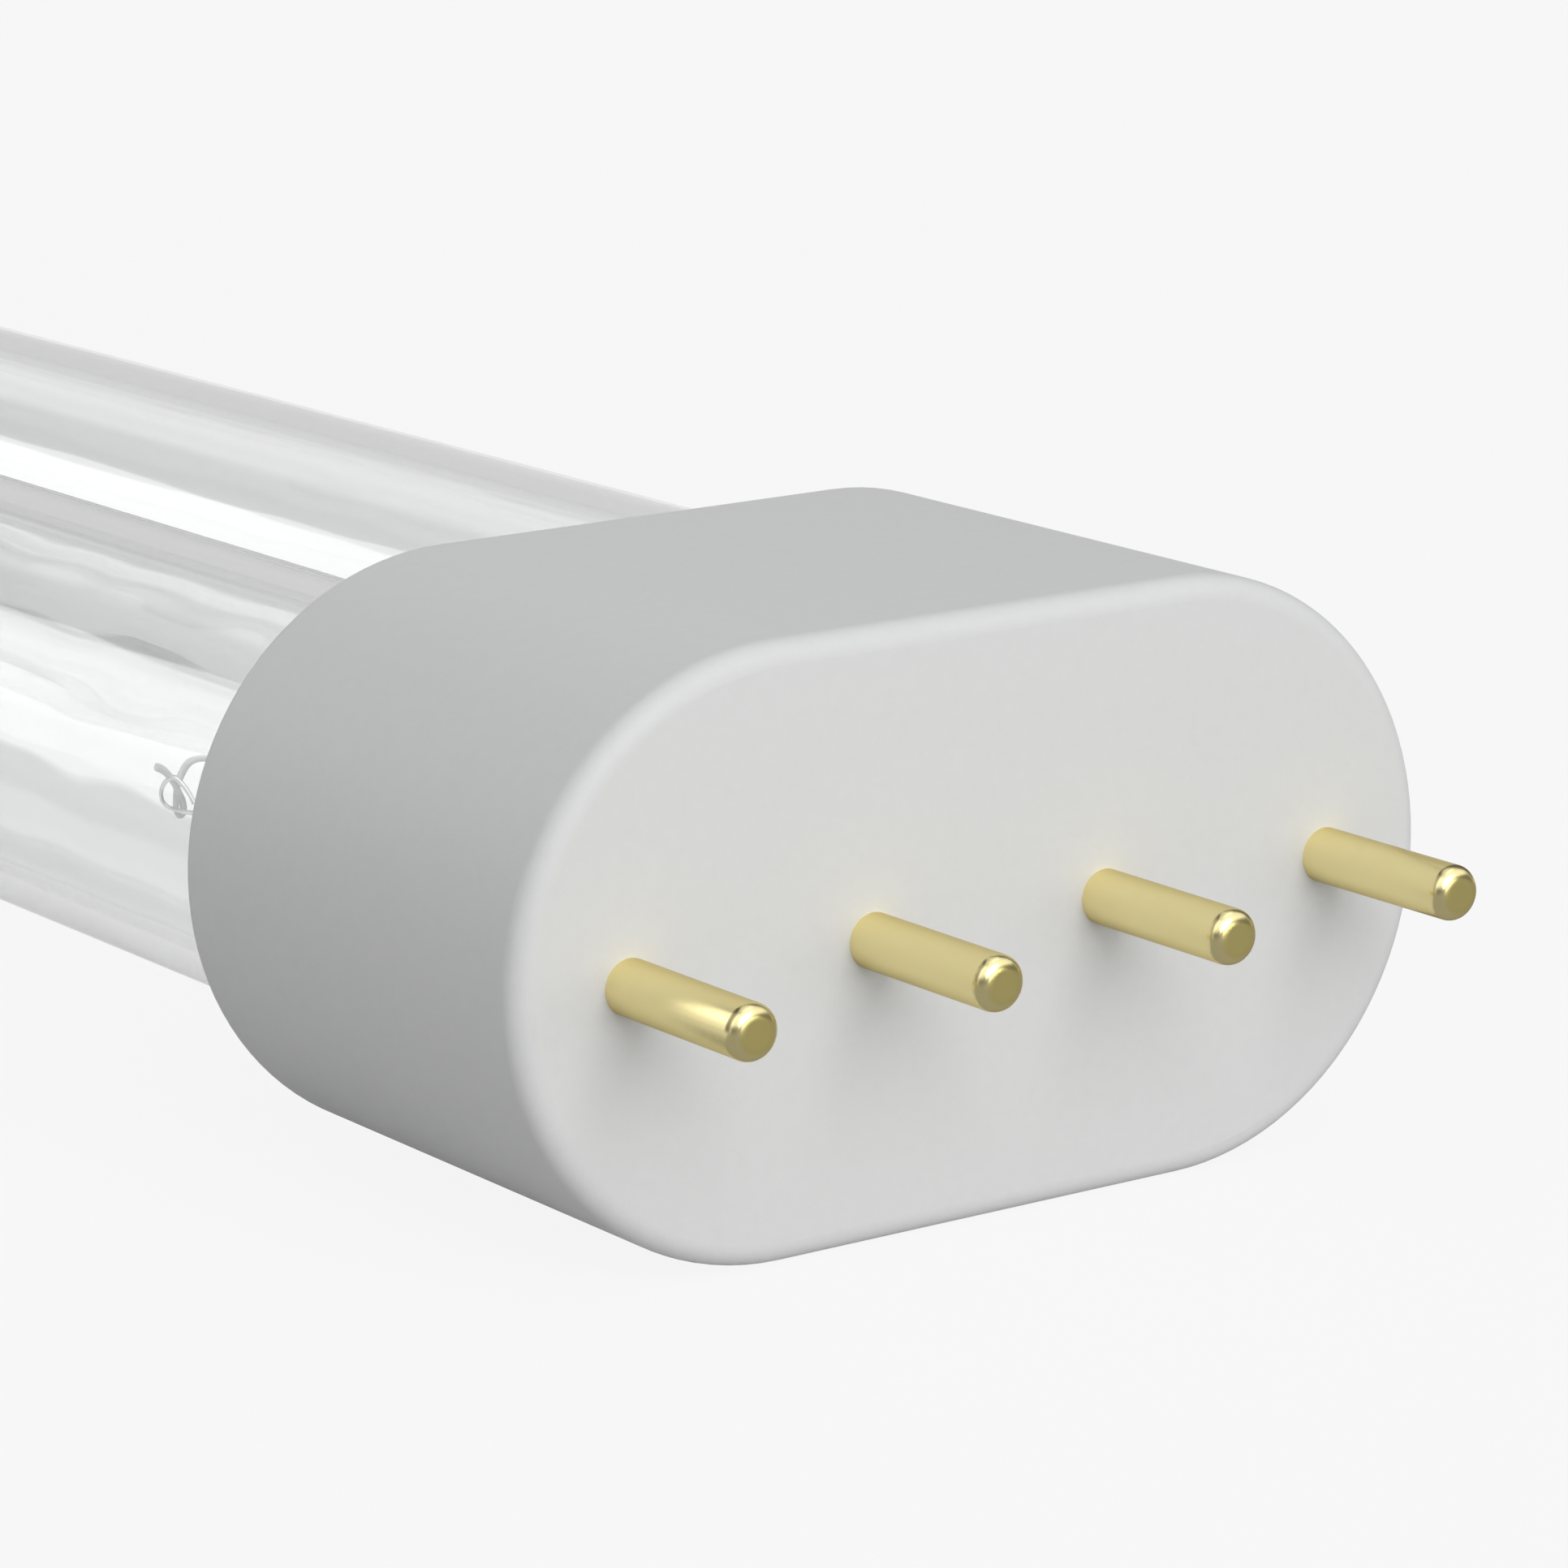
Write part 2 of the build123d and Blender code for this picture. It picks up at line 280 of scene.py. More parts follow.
class LampStageSettings(bpy.types.PropertyGroup):
    background: FloatProperty(
        name="Background",
        description="Brightness of the floor near the lamp, as a linear value",
        default=0.97, min=0, max=1,
    )
    backdrop: FloatProperty(
        name="Backdrop",
        description="Brightness of the far floor and what lies beyond it, as a linear value",
        default=0.93, min=0, max=1,
    )
    # Painted shade: the share of the near floor's brightness that is left where gloss sees it by
    # the pins and the near leg
    floor_gloss: FloatProperty(
        name="Floor in gloss",
        description="Share of the near floor's brightness that shiny surfaces show",
        default=0.34, min=0, max=1,
    )
    shadow_share: FloatProperty(
        name="Shadow share",
        description="Share of the floor's look that the lamps light and the object shades",
        default=0.08, min=0, max=1,
    )
    key_power: FloatProperty(
        name="Key lamp",
        description="Power of the large lamp above the pins",
        default=2.9, min=0, unit="POWER",
    )
    front_power: FloatProperty(
        name="Front lamp",
        description="Power of the low lamp that faces the pins",
        default=0.85, min=0, unit="POWER",
    )
    top_power: FloatProperty(
        name="Top lamp",
        description="Power of the lamp overhead",
        default=0.8, min=0, unit="POWER",
    )
    ambient: FloatProperty(
        name="Ambient",
        description="Brightness of the studio's even light",
        default=0.485, min=0,
    )
    softbox: FloatProperty(
        name="Soft box",
        description="Brightness of the soft box that gloss and glass show",
        default=1.0, min=0,
    )


class LampCameraSettings(bpy.types.PropertyGroup):
    position: FloatVectorProperty(
        name="Position",
        description="Place of the camera",
        default=(-139.67 * MM, -183.77 * MM, 60.26 * MM), subtype="TRANSLATION", unit="LENGTH",
    )
    turn: FloatProperty(
        name="Turn",
        description="Angle of the view from the lamp's length, to the right",
        default=radians(35.2998), subtype="ANGLE",
    )
    tilt: FloatProperty(
        name="Tilt",
        description="Angle of the view below the horizon",
        default=radians(13.4014), subtype="ANGLE",
    )
    roll: FloatProperty(
        name="Roll",
        description="Turn of the camera about its view",
        default=radians(-0.4492), subtype="ANGLE",
    )
    lens: FloatProperty(
        name="Lens",
        description="Focal length on a 36 mm sensor",
        default=144.2486, min=1, subtype="DISTANCE_CAMERA",
    )


# Modelling helpers

def deselect_everything():
    """Leave edit mode and clear the selection, so operators reach only new pieces."""
    if bpy.context.object and bpy.context.object.mode != "OBJECT":
        bpy.ops.object.mode_set(mode="OBJECT")
    bpy.ops.object.select_all(action="DESELECT")


def pick(piece):
    """Make a piece the only selected and active one."""
    deselect_everything()
    piece.select_set(True)
    bpy.context.view_layer.objects.active = piece


def settle(piece):
    """Put the piece's place and turn into its mesh."""
    pick(piece)
    bpy.ops.object.transform_apply(location=True, rotation=True, scale=True)


def edit_edges(piece, wanted):
    """Open a piece in edit mode, with the edges selected whose two ends pass a test."""
    pick(piece)
    bpy.ops.object.mode_set(mode="EDIT")
    bpy.ops.mesh.select_all(action="DESELECT")
    bpy.ops.object.mode_set(mode="OBJECT")
    for edge in piece.data.edges:
        start, end = [piece.data.vertices[i].co for i in edge.vertices]
        edge.select = wanted(start, end)
    bpy.ops.object.mode_set(mode="EDIT")
    bpy.ops.mesh.select_mode(type="EDGE")


def add_tube_body(name, start, end, radius, facets):
    """A closed round bar from start to end, each a point in metres."""
    deselect_everything()
    run = end - start
    bpy.ops.mesh.primitive_cylinder_add(
        vertices=facets,
        radius=radius,
        depth=run.length,
        end_fill_type="NGON",
        location=(start + end) / 2,
        rotation=run.to_track_quat("Z", "Y").to_euler(),
    )
    piece = bpy.context.object
    piece.name = name
    settle(piece)
    return piece


def round_far_end(piece, end_y, radius):
    """Bevel the ring of edges at the leg's far end."""
    edit_edges(piece, lambda a, b: abs(a.y - end_y) < CLOSE and abs(b.y - end_y) < CLOSE)
    bpy.ops.mesh.bevel(
        offset=radius,
        offset_type="OFFSET",
        segments=ROUNDING_STEPS,
        profile=0.5,
        affect="EDGES",
    )
    bpy.ops.object.mode_set(mode="OBJECT")


def flare_to_legs(bar, middle, radius, weld, leg_radius, leg_x):
    """Ring the bridge and swell its ends, so melted glass runs into each leg's round side."""
    in_wall = FLARE_STEPS + 2
    on_axis = FLARE_STEPS + 3
    edit_edges(bar, lambda a, b: abs(a.x - b.x) > leg_x)
    bpy.ops.mesh.subdivide(number_cuts=2 * on_axis - 1)
    bpy.ops.object.mode_set(mode="OBJECT")
    ring_gap = leg_x / on_axis
    for vertex in bar.data.vertices:
        ring = round(abs(vertex.co.x) / ring_gap)
        if not ring:
            continue
        turn = radians(90) * min(max(ring - 1, 0), FLARE_STEPS) / FLARE_STEPS
        size = (radius + weld * (1 - cos(turn))) / radius
        vertex.co.z *= size
        vertex.co.y = middle + (vertex.co.y - middle) * size
        saddle = leg_x - sqrt(leg_radius ** 2 - vertex.co.z ** 2)
        inside = WALL_OVERLAP if ring == in_wall else 0
        reach = leg_x if ring == on_axis else saddle - weld * (1 - sin(turn)) + inside
        vertex.co.x = reach if vertex.co.x > 0 else -reach


def combine(piece, other, operation):
    """Apply a boolean of two closed pieces and remove the second."""
    pick(piece)
    cut = piece.modifiers.new("combine", "BOOLEAN")
    cut.operation = operation
    cut.solver = "EXACT"
    cut.object = other
    bpy.ops.object.modifier_apply(modifier=cut.name)
    if not piece.data.polygons:
        raise RuntimeError(f"{piece.name} came out empty when {other.name} was combined with it")
    bpy.data.objects.remove(other, do_unlink=True)


def smooth(piece, angle=radians(30)):
    """Shade the piece smooth, apart from edges sharper than the angle."""
    pick(piece)
    bpy.ops.object.shade_smooth_by_angle(angle=angle)


def give_material(piece, material):
    """Make a material the piece's only one."""
    piece.data.materials.clear()
    piece.data.materials.append(material)


def finish_piece(piece, material, replaced):
    """Hand a finished piece to the frame: attach it to the root body, hide the CAD nodes that it
    replaces and give it its material.
    """
    give_material(piece, material)
    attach(piece, "root")
    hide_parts(*replaced)
    return piece


# Node helpers

def new_material(name):
    """A material with one shader, and its node tree and that shader."""
    material = bpy.data.materials.new(name)
    material.use_nodes = True
    nodes = material.node_tree.nodes
    nodes.clear()
    output = nodes.new("ShaderNodeOutputMaterial")
    shader = nodes.new("ShaderNodeBsdfPrincipled")
    material.node_tree.links.new(shader.outputs["BSDF"], output.inputs["Surface"])
    return material, material.node_tree, shader


def set_sockets(shader, values):
    """Set what is the same all over the surface on the shader's own sockets."""
    for name, value in values.items():
        shader.inputs[name].default_value = value


def object_coordinates(tree, stretch=(1, 1, 1)):
    """Object coordinates in millimetres, stretched along each axis."""
    place = tree.nodes.new("ShaderNodeTexCoord")
    mapping = tree.nodes.new("ShaderNodeMapping")
    mapping.vector_type = "POINT"
    mapping.inputs["Scale"].default_value = [1 / MM / s for s in stretch]
    tree.links.new(place.outputs["Object"], mapping.inputs["Vector"])
    return mapping.outputs["Vector"]


def split_coordinates(tree, kind):
    """The X, Y and Z of Object coordinates, in metres, or of the world's directions."""
    place = tree.nodes.new("ShaderNodeTexCoord")
    split = tree.nodes.new("ShaderNodeSeparateXYZ")
    tree.links.new(place.outputs[kind], split.inputs["Vector"])
    return split.outputs


def noise(tree, vector, scale=1.0, detail=2.0, roughness=0.5):
    """A noise pattern; scale is in features per millimetre of its vector."""
    texture = tree.nodes.new("ShaderNodeTexNoise")
    texture.inputs["Scale"].default_value = scale
    texture.inputs["Detail"].default_value = detail
    texture.inputs["Roughness"].default_value = roughness
    tree.links.new(vector, texture.inputs["Vector"])
    return texture.outputs["Fac"]


def spread(tree, value, start, end, low, high):
    """Follow a value from start to end with a number from low to high."""
    node = tree.nodes.new("ShaderNodeMapRange")
    node.inputs["From Min"].default_value = start
    node.inputs["From Max"].default_value = end
    node.inputs["To Min"].default_value = low
    node.inputs["To Max"].default_value = high
    tree.links.new(value, node.inputs["Value"])
    return node.outputs["Result"]


def remap(tree, pattern, low, high):
    """Stretch a 0 to 1 pattern to the range from low to high."""
    return spread(tree, pattern, 0, 1, low, high)


def calculate(tree, operation, *values):
    """The result of a Math node, whose values are numbers or outputs of other nodes."""
    node = tree.nodes.new("ShaderNodeMath")
    node.operation = operation
    for socket, value in zip(node.inputs, values):
        if isinstance(value, bpy.types.NodeSocket):
            tree.links.new(value, socket)
        else:
            socket.default_value = value
    return node.outputs["Value"]


def multiplied(tree, first, second):
    """The product of two values."""
    return calculate(tree, "MULTIPLY", first, second)


def vector_length(tree, vector):
    """The length of a vector."""
    node = tree.nodes.new("ShaderNodeVectorMath")
    node.operation = "LENGTH"
    tree.links.new(vector, node.inputs[0])
    return node.outputs["Value"]


def colour_between(tree, value, first, second):
    """A colour that follows a value from one to another, each a colour or an output."""
    mix = tree.nodes.new("ShaderNodeMix")
    mix.data_type = "RGBA"
    tree.links.new(value, mix.inputs["Factor"])
    for name, colour in (("A", first), ("B", second)):
        if isinstance(colour, bpy.types.NodeSocket):
            tree.links.new(colour, mix.inputs[name])
        else:
            mix.inputs[name].default_value = (*colour, 1)
    return mix.outputs["Result"]


def mottled(tree, pattern, colour, dark, light):
    """The colour, made darker and lighter by two factors as a pattern rises."""
    tints = [tuple(min(1.0, c * factor) for c in colour) for factor in (dark, light)]
    return colour_between(tree, pattern, *tints)


def shader_between(tree, value, first, second):
    """A shader that follows a value from one to another."""
    mix = tree.nodes.new("ShaderNodeMixShader")
    tree.links.new(value, mix.inputs["Fac"])
    tree.links.new(first, mix.inputs[1])
    tree.links.new(second, mix.inputs[2])
    return mix.outputs["Shader"]


def bump(tree, shader, height, distance):
    """Raise the surface by a pattern; distance is in metres."""
    node = tree.nodes.new("ShaderNodeBump")
    node.inputs["Distance"].default_value = distance
    node.inputs["Strength"].default_value = 1.0
    tree.links.new(height, node.inputs["Height"])
    tree.links.new(node.outputs["Normal"], shader.inputs["Normal"])
    return node


# Materials

def moulded_plastic(colour):
    """Matt moulded plastic with a faint mottle and a fine spark-eroded grain."""
    material, tree, shader = new_material("moulded_plastic")
    place = object_coordinates(tree)
    mottle = noise(tree, place, scale=1.6, detail=3, roughness=0.6)
    grain = noise(tree, place, scale=9.0, detail=2)
    tree.links.new(
        mottled(tree, mottle, colour, dark=0.975, light=1.025),
        shader.inputs["Base Color"],
    )
    tree.links.new(remap(tree, grain, low=0.52, high=0.62), shader.inputs["Roughness"])
    bump(tree, shader, grain, distance=0.006 * MM)
    set_sockets(shader, {"IOR": PLASTIC_IOR})
    return material


def turned_brass(colour):
    """Bright pale brass with fine turning lines, and painted shade on the cut end for its darker
    reflection.
    """
    material, tree, shader = new_material("turned_brass")
    rings = object_coordinates(tree, stretch=(6, 0.12, 6))
    lines = noise(tree, rings, detail=3, roughness=0.6)
    haze = noise(tree, object_coordinates(tree), scale=1.2, detail=3, roughness=0.6)
    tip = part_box("contact_pin_1")[0].y
    along = split_coordinates(tree, "Object")["Y"]
    shaft = spread(tree, along, tip + CUT_END[0], tip + CUT_END[1], 0, 1)
    # Painted shade: the cut end is darker and less yellow, in place of the dark reflection it
    # shows
    shaded_cut_end = [c * share for c, share in zip(colour, CUT_END_PAINTED_SHADE)]
    worked = mottled(tree, haze, colour, dark=0.96, light=1.03)
    tree.links.new(colour_between(tree, shaft, shaded_cut_end, worked), shader.inputs["Base Color"])
    tree.links.new(remap(tree, haze, low=0.2, high=0.3), shader.inputs["Roughness"])
    bump(tree, shader, lines, distance=0.0015 * MM)
    set_sockets(shader, {
        "Metallic": 1.0,
        "Specular Tint": BRASS_GLOSS,
        "Coat Weight": 0.35,
        "Coat Roughness": 0.3,
    })
    return material


def clear_glass(name, streaks, ripple):
    """Clear glass with the slow waves and faint lines that drawing leaves on its outside."""
    material, tree, shader = new_material(name)
    set_sockets(shader, {
        "Base Color": GLASS_TINT,
        "Roughness": 0.0,
        "IOR": GLASS_IOR,
        "Transmission Weight": 1.0,
    })
    slow = object_coordinates(tree, stretch=(4.5, 7, 4.5))
    waves = noise(tree, slow, detail=0, roughness=0.4)
    drawn = object_coordinates(tree, stretch=(1.6, 22, 1.6))
    lines = noise(tree, drawn, detail=0)
    height = calculate(tree, "MULTIPLY_ADD", lines, streaks, waves)
    relief = bump(tree, shader, height, distance=0.2 * MM)
    edge = tree.nodes.new("ShaderNodeLayerWeight")
    edge.inputs["Blend"].default_value = 0.5
    at_outline = RELIEF_AT_OUTLINE * ripple
    calm_edge = spread(tree, edge.outputs["Facing"], *TURNING_AWAY, ripple, at_outline)
    calm_bore = spread(tree, distance_from_axis(tree), *GLASS_WALL, RELIEF_IN_BORE, 1)
    side = tree.nodes.new("ShaderNodeNewGeometry")
    calm_back = spread(tree, side.outputs["Backfacing"], 0, 1, 1, RELIEF_FROM_BEHIND)
    strength = multiplied(tree, multiplied(tree, calm_edge, calm_bore), calm_back)
    tree.links.new(strength, relief.inputs["Strength"])
    let_light_through(tree, shader)
    return material


def distance_from_axis(tree):
    """How far a point lies from the axis of the leg that it is on, in metres."""
    place = split_coordinates(tree, "Object")
    across = calculate(tree, "ABSOLUTE", place["X"])
    flat = tree.nodes.new("ShaderNodeCombineXYZ")
    tree.links.new(calculate(tree, "SUBTRACT", across, leg_axis("right")), flat.inputs["X"])
    tree.links.new(place["Z"], flat.inputs["Y"])
    return vector_length(tree, flat.outputs["Vector"])


def let_light_through(tree, shader):
    """Let lamps light what is behind the glass."""
    path = tree.nodes.new("ShaderNodeLightPath")
    clear = tree.nodes.new("ShaderNodeBsdfTransparent")
    clear.inputs["Color"].default_value = GLASS_SHADE
    output = next(n for n in tree.nodes if n.type == "OUTPUT_MATERIAL")
    look = shader_between(
        tree, path.outputs["Is Shadow Ray"], shader.outputs["BSDF"], clear.outputs["BSDF"]
    )
    tree.links.new(look, output.inputs["Surface"])


def cast_cement(colour):
    """Rough capping cement with pores."""
    material, tree, shader = new_material("cast_cement")
    lumps = noise(tree, object_coordinates(tree), scale=1.4, detail=5, roughness=0.65)
    tree.links.new(
        mottled(tree, lumps, colour, dark=0.86, light=1.08),
        shader.inputs["Base Color"],
    )
    bump(tree, shader, lumps, distance=0.12 * MM)
    set_sockets(shader, {"Roughness": 0.85})
    return material


def drawn_metal(name, colour, roughness, grain_length, metallic):
    """Dull drawn wire with lengthwise die marks; a coated wire is less metallic."""
    material, tree, shader = new_material(name)
    grain = object_coordinates(tree, stretch=(0.05, grain_length, 0.05))
    marks = noise(tree, grain, detail=3, roughness=0.6)
    tree.links.new(
        mottled(tree, marks, colour, dark=0.85, light=1.1),
        shader.inputs["Base Color"],
    )
    tree.links.new(
        remap(tree, marks, low=roughness - 0.06, high=roughness + 0.1),
        shader.inputs["Roughness"],
    )
    set_sockets(shader, {"Metallic": metallic})
    return material


def liquid_mercury():
    """A liquid mirror with a slight skin."""
    material, tree, shader = new_material("liquid_mercury")
    skin = noise(tree, object_coordinates(tree), scale=2.0, detail=3, roughness=0.6)
    tree.links.new(colour_between(tree, skin, *MERCURY_SKIN), shader.inputs["Base Color"])
    tree.links.new(remap(tree, skin, low=0.03, high=0.1), shader.inputs["Roughness"])
    set_sockets(shader, {"Metallic": 1.0})
    return material


# Pieces

def build_glass_vessel(settings):
    """Two round-ended legs and their bridge, hollow and open at the base."""
    seat, far_end, outer, bore = vessel_sizes()
    bridge_y = far_end - settings.bridge_setback
    bridge = settings.bridge_diameter / 2
    shells = {}
    for shell, shrink in (("outside", 0.0), ("inside", outer - bore)):
        start = seat if shell == "outside" else seat - OPEN_END
        legs = []
        for side in LEG_SIDES:
            x = leg_axis(side)
            leg = add_tube_body(
                f"leg_{shell}_{side}",
                Vector((x, start, 0)),
                Vector((x, far_end - shrink, 0)),
                outer - shrink,
                settings.leg_facets,
            )
            round_far_end(leg, far_end - shrink, settings.end_radius - shrink)
            legs.append(leg)
        crossing = add_tube_body(
            f"bridge_{shell}",
            Vector((leg_axis("left"), bridge_y, 0)),
            Vector((leg_axis("right"), bridge_y, 0)),
            bridge - shrink,
            settings.bridge_facets,
        )
        if shell == "outside":
            flare_to_legs(
                crossing, bridge_y, bridge, settings.weld_radius, outer, leg_axis("right")
            )
        combine(legs[0], crossing, "UNION")
        combine(legs[0], legs[1], "UNION")
        shells[shell] = legs[0]
    vessel = shells["outside"]
    combine(vessel, shells["inside"], "DIFFERENCE")
    vessel.name = "glass_vessel"
    smooth(vessel)
    return vessel


def add_wire(name, points, radius, thickness=None):
    """A round wire along a smooth line through the points, made a mesh."""
    deselect_everything()
    bpy.ops.curve.primitive_nurbs_path_add(location=(0, 0, 0))
    wire = bpy.context.object
    wire.name = name
    wire.data.splines.clear()
    spline = wire.data.splines.new("NURBS")
    spline.points.add(len(points) - 1)
    for index, (knot, point) in enumerate(zip(spline.points, points)):
        knot.co = (*point, 1)
        knot.radius = thickness[index] if thickness else 1
    spline.order_u = 3
    spline.use_endpoint_u = True
    spline.resolution_u = 6
    wire.data.dimensions = "3D"
    wire.data.bevel_depth = radius
    wire.data.bevel_resolution = 4
    wire.data.use_fill_caps = True
    pick(wire)
    bpy.ops.object.convert(target="MESH")
    wire = bpy.context.object
    settle(wire)
    smooth(wire, WIRE_CREASE)
    return wire


def beside_axis(side, outward, place):
    """A point given in millimetres outwards from the leg's axis, along from the coil and up."""
    out, along, up = place
    return Vector((
        leg_axis(side) + outward * out * MM,
        coil_centre(side).y + (along - TOWARDS_BASE) * MM,
        up * MM,
    ))


def build_lead_wire(number, settings):
    """One lead wire: from its pin's cup, through the stem, to the loop round the coil's end."""
    side = LEG_SIDES[(number - 1) // 2]
    outward = -1 if number % 2 else 1
    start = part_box(f"lead_wire_{number}")[0].y + START_IN_PIN * MM
    pin_low, pin_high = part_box(f"contact_pin_{number}")
    pin_x = (pin_low.x + pin_high.x) / 2
    stem_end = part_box(f"glass_stem_{side}")[1].y
    seat = vessel_sizes()[0]
    lead_x = leg_axis(side) + outward * settings.lead_spacing / 2
    straight = [
        Vector((pin_x, start, 0)),
        Vector((pin_x, pin_high.y, 0)),
        Vector((pin_x, pin_high.y + OUT_OF_CUP * MM, 0)),
        *[Vector((lead_x, seat + past * MM, 0)) for past in PAST_SEAT],
        *[Vector((lead_x, stem_end + past * MM, 0)) for past in ABOUT_STEM_END],
    ]
    loop = [beside_axis(side, outward, place) for place in LEAD_LOOP]
    thin = settings.loop_radius / settings.wire_radius
    thickness = [1] * len(straight) + [thin] * len(loop)
    return add_wire(f"lead_in_{number}", straight + loop, settings.wire_radius, thickness)


def build_coil(side, settings):
    """The coated coil: a free end, a turn through each lead's loop and the span between."""
    left = [beside_axis(side, -1, place) for place in COIL_END]
    right = [beside_axis(side, 1, place) for place in reversed(COIL_END)]
    middle = beside_axis(side, 1, (0, 0, COIL_END[-1][2] - SPAN_SAG))
    return add_wire(f"electrode_{side}", [*left, middle, *right], settings.coil_radius)


# Stage

def seen_by_view(tree):
    """1 for rays of the view, of gloss and of glass, and 0 for those of even light."""
    path = tree.nodes.new("ShaderNodeLightPath")
    level = path.outputs["Is Camera Ray"]
    for kind in ("Is Glossy Ray", "Is Transmission Ray"):
        level = calculate(tree, "MAXIMUM", path.outputs[kind], level)
    return level


def reflected_only(tree):
    """1 for rays that a surface reflects, and 0 for those that glass lets through."""
    path = tree.nodes.new("ShaderNodeLightPath")
    kinds = [path.outputs[kind] for kind in ("Is Glossy Ray", "Is Transmission Ray")]
    return calculate(tree, "MAXIMUM", calculate(tree, "SUBTRACT", *kinds), 0)


def painted_floor_shade(tree):
    """1 where painted shade darkens the floor that gloss shows, by the pins and the near leg,
    falling to 0.
    """
    place = split_coordinates(tree, "Object")
    by_pins = spread(tree, place["Y"], *SHADE_TO_REAR, 1, 0)
    by_leg = multiplied(
        tree,
        spread(tree, place["X"], *SHADE_TO_FAR_LEG, 1, 0),
        spread(tree, place["X"], *SHADE_BESIDE, SHADE_FAR_OUT, 1),
    )
    return calculate(tree, "MAXIMUM", by_pins, by_leg)


def floor_surface(stage):
    """Pale floor with a soft shadow that runs into the backdrop, and painted shade by the pins
    and the near leg that only gloss shows.
    """
    material = bpy.data.materials.new("studio_floor")
    material.use_nodes = True
    tree = material.node_tree
    tree.nodes.clear()
    output = tree.nodes.new("ShaderNodeOutputMaterial")
    paint = tree.nodes.new("ShaderNodeBsdfDiffuse")
    paint.inputs["Color"].default_value = FLOOR_PAINT
    glow = tree.nodes.new("ShaderNodeEmission")
    place = tree.nodes.new("ShaderNodeTexCoord")
    distance = vector_length(tree, place.outputs["Object"])
    plain = spread(tree, distance, *FLOOR_FADE, stage.background, stage.backdrop)
    # Painted shade: reflections show the floor by the pins and the near leg darker
    shade_in_gloss = multiplied(tree, reflected_only(tree), painted_floor_shade(tree))
    gloss = spread(tree, shade_in_gloss, 0, 1, 1, stage.floor_gloss)
    tree.links.new(multiplied(tree, plain, gloss), glow.inputs["Strength"])
    own_look = spread(tree, distance, *FLOOR_FADE, 1 - stage.shadow_share, 1)
    shown = multiplied(tree, seen_by_view(tree), own_look)
    look = shader_between(tree, shown, paint.outputs["BSDF"], glow.outputs["Emission"])
    tree.links.new(look, output.inputs["Surface"])
    return material


def build_floor(stage):
    """A wide plain floor just under the lamp's base."""
    deselect_everything()
    bpy.ops.mesh.primitive_plane_add(size=FLOOR_SIZE, location=(0, 0, CAD_BOX[0].z - CLOSE))
    floor = bpy.context.object
    floor.name = "floor"
    settle(floor)
    give_material(floor, floor_surface(stage))
    return floor


def level_ramp(tree, value, stops, low, high):
    """A brightness that follows a value through stops given in the value's own unit."""
    share = spread(tree, value, low, high, 0, 1)
    ramp = tree.nodes.new("ShaderNodeValToRGB")
    elements = ramp.color_ramp.elements
    while len(elements) > 1:
        elements.remove(elements[0])
    for index, (place, level) in enumerate(stops):
        position = (place - low) / (high - low)
        stop = elements.new(position) if index else elements[0]
        stop.position = position
        stop.color = (level, level, level, 1)
    tree.links.new(share, ramp.inputs["Fac"])
    return ramp.outputs["Color"]


def studio_levels(tree):
    """Brightness of the studio's soft boxes and flags in every direction."""
    towards = split_coordinates(tree, "Generated")
    angle = calculate(tree, "ARCTAN2", towards["Z"], towards["X"])
    rear_bands = [(radians(degrees), level) for degrees, level in REAR_BANDS]
    rear = level_ramp(tree, angle, rear_bands, -pi, pi)
    front = level_ramp(tree, towards["Z"], FRONT_BANDS, 0, 1)
    to_rear = level_ramp(tree, towards["Y"], FRONT_TO_REAR, -1, 1)
    gap = level_ramp(tree, towards["Y"], GAP_BANDS, -1, 1)
    shade = tree.nodes.new("ShaderNodeVectorMath")
    shade.operation = "MULTIPLY"
    tree.links.new(colour_between(tree, to_rear, front, rear), shade.inputs[0])
    tree.links.new(gap, shade.inputs[1])
    return shade.outputs["Vector"]


def build_world(stage):
    """Pale backdrop for the view, soft boxes and flags for gloss and glass, and even light."""
    world = bpy.data.worlds.new("studio")
    bpy.context.scene.world = world
    world.use_nodes = True
    tree = world.node_tree
    tree.nodes.clear()
    output = tree.nodes.new("ShaderNodeOutputWorld")
    backdrop = tree.nodes.new("ShaderNodeBackground")
    backdrop.inputs["Color"].default_value = (*[stage.backdrop] * 3, 1)
    boxes = tree.nodes.new("ShaderNodeBackground")
    boxes.inputs["Strength"].default_value = stage.softbox
    tree.links.new(studio_levels(tree), boxes.inputs["Color"])
    room = tree.nodes.new("ShaderNodeBackground")
    room.inputs["Strength"].default_value = stage.ambient
    path = tree.nodes.new("ShaderNodeLightPath")
    shown = shader_between(
        tree,
        path.outputs["Is Camera Ray"],
        boxes.outputs["Background"],
        backdrop.outputs["Background"],
    )
    look = shader_between(tree, seen_by_view(tree), room.outputs["Background"], shown)
    tree.links.new(look, output.inputs["Surface"])
    return world


def add_area_lamp(name, place, width, height, power):
    """A soft rectangular lamp that faces the base."""
    data = bpy.data.lights.new(name, "AREA")
    data.shape = "RECTANGLE"
    data.size = width
    data.size_y = height
    data.energy = power
    lamp = bpy.data.objects.new(name, data)
    bpy.context.scene.collection.objects.link(lamp)
    lamp.location = place
    facing = Vector(LIT_POINT) - Vector(place)
    lamp.rotation_euler = facing.to_track_quat("-Z", "Y").to_euler()
    return lamp


